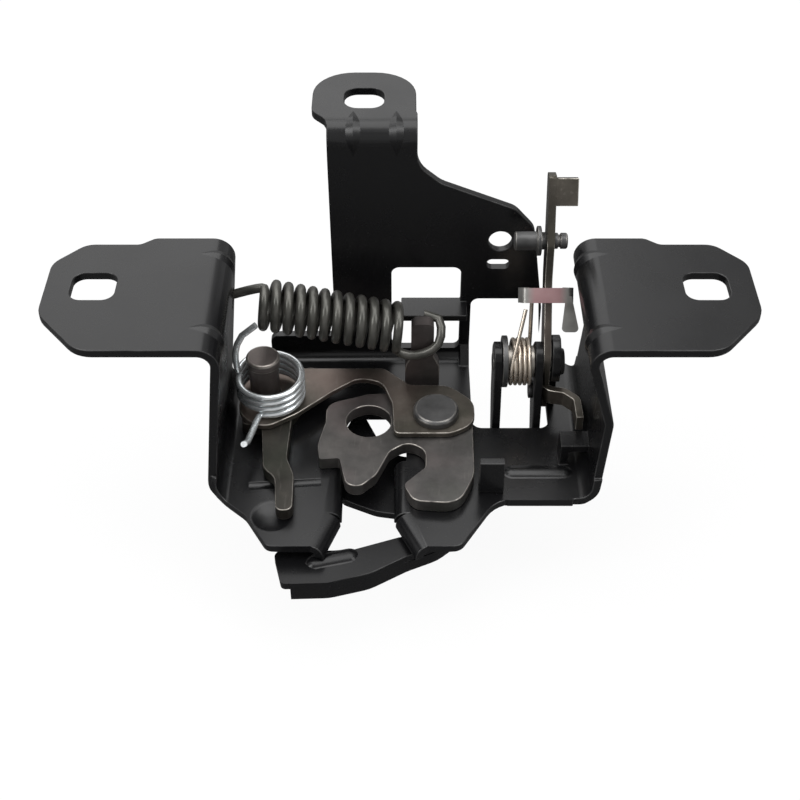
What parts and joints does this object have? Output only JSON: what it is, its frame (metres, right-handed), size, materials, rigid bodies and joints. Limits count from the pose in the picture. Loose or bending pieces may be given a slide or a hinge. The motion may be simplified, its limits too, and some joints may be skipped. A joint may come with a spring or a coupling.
{
  "type": "bonnet latch",
  "caption": "Bonnet latch: folded sheet bracket carrying a rotary catch, a pawl with springs, and a sprung safety hook with its release lever.",
  "frame": {"origin": "midway between the two flange bolt slots, on the plane of the flanges' undersides", "axes": "+X from the pawl side to the safety lever side, +Y along the way the striker enters the slot, +Z out of the open tray"},
  "size_m": [0.198, 0.12, 0.0975],
  "materials": {
    "black_paint": "glossy black dip paint on pressed steel",
    "olive_phosphate": "olive-brown phosphate with a film of oil",
    "brown_phosphate": "brown-grey phosphate with a film of oil",
    "dark_steel": "dark oiled steel",
    "bush_steel": "turned steel",
    "spring_black": "dark drawn spring wire",
    "pin_brown": "brown-grey phosphate",
    "zinc_wire": "bright zinc-plated wire",
    "pale_wire": "pale plated wire",
    "lever_zinc": "dull yellow-brown zinc",
    "clip_zinc": "pinkish plated spring strip"
  },
  "bodies": {
    "frame": {"bracket": "black_paint", "bridge_plate": "olive_phosphate", "catch_rivet": "dark_steel", "catch_bush": "bush_steel", "pawl_pin": "pin_brown", "pawl_bush": "bush_steel", "hook_pin": "dark_steel", "catch_spring": "spring_black", "pawl_spring": "zinc_wire", "hook_spring": "pale_wire", "hook_washer": "dark_steel", "hook_bush": "bush_steel"},
    "catch": {"rotary_catch": "brown_phosphate"},
    "pawl": {"pawl": "brown_phosphate"},
    "hook": {"safety_hook": "black_paint", "safety_lever": "lever_zinc", "lever_rivet": "dark_steel", "handle_pin": "dark_steel", "lever_clip": "clip_zinc"}
  },
  "joints": [
    {"name": "catch_turn", "type": "hinge", "parent": "frame", "child": "catch", "pos_m": [0.0108, -0.0028, -0.0482], "axis": [0, 0, 1], "range_deg": [-55, 0], "stiffness_Nm_per_rad": 0.8, "springref_deg": 28.65, "deforming": ["catch_spring"]},
    {"name": "pawl_turn", "type": "hinge", "parent": "frame", "child": "pawl", "pos_m": [-0.041, 0.0072, -0.0482], "axis": [0, 0, 1], "range_deg": [-16, 4], "deforming": ["pawl_spring"]},
    {"name": "hook_turn", "type": "hinge", "parent": "frame", "child": "hook", "pos_m": [0.035, 0.008, -0.0325], "axis": [1, 0, 0], "range_deg": [0, 18], "stiffness_Nm_per_rad": 0.2, "springref_deg": -34.38, "deforming": ["hook_spring"]}
  ]
}
